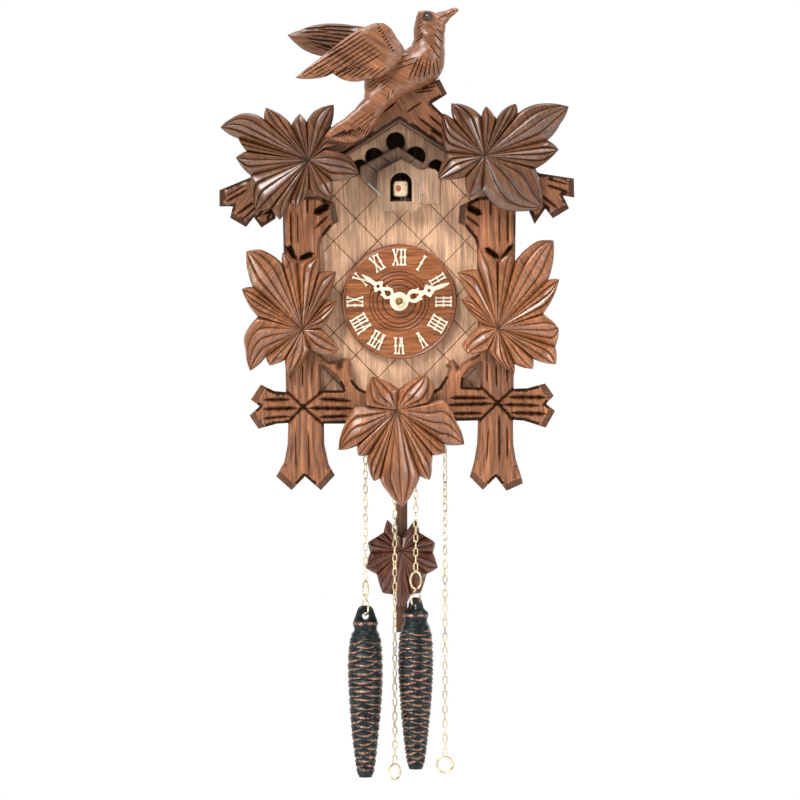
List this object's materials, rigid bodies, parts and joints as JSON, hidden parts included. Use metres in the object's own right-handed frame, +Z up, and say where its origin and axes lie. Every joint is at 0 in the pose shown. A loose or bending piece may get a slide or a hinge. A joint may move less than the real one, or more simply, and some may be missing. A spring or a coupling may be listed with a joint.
{
  "type": "cuckoo clock",
  "caption": "Carved wooden wall cuckoo clock with a bird crest and leaves, a dial with hands, a cuckoo door, a pendulum, and two chains with cone weights and pull rings.",
  "frame": {"origin": "rear face of the back board, level with the middle of the dial and on the case's centre line", "axes": "+Z up, +Y into the wall, front faces -Y, +X to the right seen from the front"},
  "size_m": [0.2429, 0.14, 0.5331],
  "materials": {
    "carved_walnut": "walnut-stained linden, carved, clear lacquer, satin to glossy",
    "panel_wood": "light brown veneer, vertical grain, satin",
    "dial_wood": "turned reddish brown wood, satin",
    "cream_plastic": "cream, semi-gloss",
    "chain_brass": "pale plated brass, polished",
    "steel_wire": "bright wire",
    "cone_iron": "cast iron, blue-black with copper rub on the high points",
    "pine_box": "plain unfinished softwood",
    "cuckoo_paint": "cream paint"
  },
  "bodies": {
    "case": {"left_side": "carved_walnut", "right_side": "carved_walnut", "bottom_board": "carved_walnut", "left_roof": "carved_walnut", "right_roof": "carved_walnut", "left_branch": "carved_walnut", "right_branch": "carved_walnut", "top_bird": "carved_walnut", "bird_near_wing": "carved_walnut", "bird_far_wing": "carved_walnut", "top_left_leaf": "carved_walnut", "top_right_leaf": "carved_walnut", "left_leaf": "carved_walnut", "right_leaf": "carved_walnut", "bottom_leaf": "carved_walnut", "left_post": "carved_walnut", "right_post": "carved_walnut", "front_board": "panel_wood", "house_roof": "panel_wood", "house_front": "panel_wood", "dial": "dial_wood", "movement_front_plate": "chain_brass", "movement_back_plate": "chain_brass", "gong_post": "chain_brass", "door_hinge_wire": "steel_wire", "gong": "steel_wire", "hammer_pin": "steel_wire", "back_board": "pine_box", "left_whistle": "pine_box", "right_whistle": "pine_box"},
    "minute_hand": {"minute_hand": "cream_plastic", "hand_nut": "chain_brass", "centre_arbor": "chain_brass"},
    "hour_hand": {"hour_hand": "cream_plastic", "hour_wheel": "chain_brass"},
    "left_wheel": {"left_chain_wheel": "chain_brass"},
    "right_wheel": {"right_chain_wheel": "chain_brass"},
    "left_drive_weight": {"left_weight": "cone_iron", "left_hook": "chain_brass", "left_weight_chain": "chain_brass"},
    "right_drive_weight": {"right_weight": "cone_iron", "right_hook": "chain_brass", "right_weight_chain": "chain_brass"},
    "left_pull": {"left_ring": "chain_brass", "left_ring_chain": "chain_brass"},
    "right_pull": {"right_ring": "chain_brass", "right_ring_chain": "chain_brass"},
    "escape": {"escape_wheel": "chain_brass"},
    "anchor_lever": {"anchor": "steel_wire", "crutch": "steel_wire"},
    "pendulum": {"pendulum_leader": "steel_wire", "pendulum_rod": "carved_walnut"},
    "pendulum_bob": {"pendulum_leaf": "carved_walnut"},
    "door": {"door": "panel_wood"},
    "cuckoo_slide": {"cuckoo": "cuckoo_paint", "cuckoo_arm": "steel_wire"},
    "latch": {"door_latch": "steel_wire"},
    "left_bellows": {"left_bellows_lid": "pine_box"},
    "right_bellows": {"right_bellows_lid": "pine_box"},
    "hammer": {"strike_hammer": "steel_wire"}
  },
  "joints": [
    {"name": "minute_spin", "type": "hinge", "parent": "case", "child": "minute_hand", "pos_m": [0, -0.101, 0], "axis": [0, 1, 0], "continuous": true},
    {"name": "hour_spin", "type": "hinge", "parent": "case", "child": "hour_hand", "pos_m": [0, -0.099, 0], "axis": [0, 1, 0], "continuous": true},
    {"name": "left_weight_travel", "type": "slide", "parent": "case", "child": "left_drive_weight", "axis": [0, 0, 1], "range_m": [-0.02, 0.1]},
    {"name": "left_wheel_spin", "type": "hinge", "parent": "case", "child": "left_wheel", "pos_m": [-0.0133, -0.05, -0.028], "axis": [0, 1, 0], "range_deg": [-113, 562.5]},
    {"name": "left_ring_travel", "type": "slide", "parent": "case", "child": "left_pull", "axis": [0, 0, 1], "range_m": [-0.1, 0.02]},
    {"name": "right_weight_travel", "type": "slide", "parent": "case", "child": "right_drive_weight", "axis": [0, 0, 1], "range_m": [-0.02, 0.1]},
    {"name": "right_wheel_spin", "type": "hinge", "parent": "case", "child": "right_wheel", "pos_m": [0.0216, -0.05, -0.028], "axis": [0, 1, 0], "range_deg": [-113, 562.5]},
    {"name": "right_ring_travel", "type": "slide", "parent": "case", "child": "right_pull", "axis": [0, 0, 1], "range_m": [-0.1, 0.02]},
    {"name": "escape_spin", "type": "hinge", "parent": "case", "child": "escape", "pos_m": [0.0016, -0.065, 0.015], "axis": [0, 1, 0], "continuous": true},
    {"name": "pendulum_swing", "type": "hinge", "parent": "case", "child": "pendulum", "pos_m": [0.0016, -0.027, 0.027], "axis": [0, 1, 0], "range_deg": [-4, 4]},
    {"name": "anchor_rock", "type": "hinge", "parent": "case", "child": "anchor_lever", "pos_m": [0.0016, -0.05, 0.027], "axis": [0, 1, 0], "range_deg": [-4, 4]},
    {"name": "bob_slide", "type": "slide", "parent": "pendulum", "child": "pendulum_bob", "axis": [0, 0, 1], "range_m": [-0.015, 0.012]},
    {"name": "cuckoo_travel", "type": "slide", "parent": "case", "child": "cuckoo_slide", "axis": [0, 1, 0], "range_m": [0, 0.015]},
    {"name": "door_swing", "type": "hinge", "parent": "case", "child": "door", "pos_m": [0.0142, -0.104, 0.078], "axis": [0, 0, 1], "range_deg": [-132, 0]},
    {"name": "latch_swivel", "type": "hinge", "parent": "case", "child": "latch", "pos_m": [-0.0211, -0.0974, 0.0813], "axis": [0, 1, 0], "range_deg": [-44, 40]},
    {"name": "left_bellows_lift", "type": "hinge", "parent": "case", "child": "left_bellows", "pos_m": [-0.049, -0.038, 0.0483], "axis": [-1, 0, 0], "range_deg": [0, 12]},
    {"name": "right_bellows_lift", "type": "hinge", "parent": "case", "child": "right_bellows", "pos_m": [0.049, -0.038, 0.0483], "axis": [-1, 0, 0], "range_deg": [0, 12]},
    {"name": "hammer_swing", "type": "hinge", "parent": "case", "child": "hammer", "pos_m": [0.036, -0.013, 0.022], "axis": [0, -1, 0], "range_deg": [-1.5, 12]}
  ],
  "couplings": [
    {"joint": "hour_spin", "follows": "minute_spin", "ratio": 0.083333},
    {"joint": "left_wheel_spin", "follows": "left_weight_travel", "rad_per_m": 98.039},
    {"joint": "left_ring_travel", "follows": "left_weight_travel", "ratio": -1},
    {"joint": "right_wheel_spin", "follows": "right_weight_travel", "rad_per_m": 98.039},
    {"joint": "right_ring_travel", "follows": "right_weight_travel", "ratio": -1},
    {"joint": "anchor_rock", "follows": "pendulum_swing", "ratio": 1},
    {"joint": "door_swing", "follows": "cuckoo_travel", "rad_per_m": -153.59}
  ]
}
